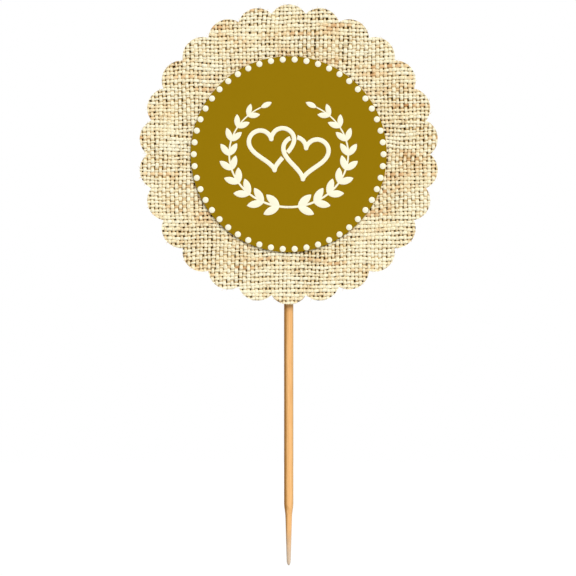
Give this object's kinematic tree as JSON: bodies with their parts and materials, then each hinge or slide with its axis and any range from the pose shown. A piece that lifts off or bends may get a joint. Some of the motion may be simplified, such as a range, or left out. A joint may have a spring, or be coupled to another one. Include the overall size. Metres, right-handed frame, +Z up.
{
  "type": "cupcake topper",
  "caption": "Scalloped woven disc with a round card centre and a dotted border, on a pointed wooden pick pushed into a cupcake.",
  "frame": {"origin": "the lower point of the pick", "axes": "+Z up along the pick; the front with the round centre faces -Y; +X is to the right as seen from the front"},
  "size_m": [0.063, 0.0042, 0.1189],
  "materials": {
    "centre_card": "matte",
    "jute": "matte",
    "stiff_card": "matte",
    "rear_card": "matte",
    "pick": "satin",
    "tape": "satin",
    "bond_film": "satin",
    "hot_glue": "gloss"
  },
  "bodies": {
    "root": {"centre_card": "centre_card", "centre_tape": "tape", "jute_face": "jute", "jute_bond": "bond_film", "stiff_card": "stiff_card", "pick": "pick", "glue_bead_left": "hot_glue", "glue_bead_right": "hot_glue", "rear_tape_left": "tape", "rear_tape_right": "tape", "rear_card": "rear_card"}
  },
  "joints": []
}
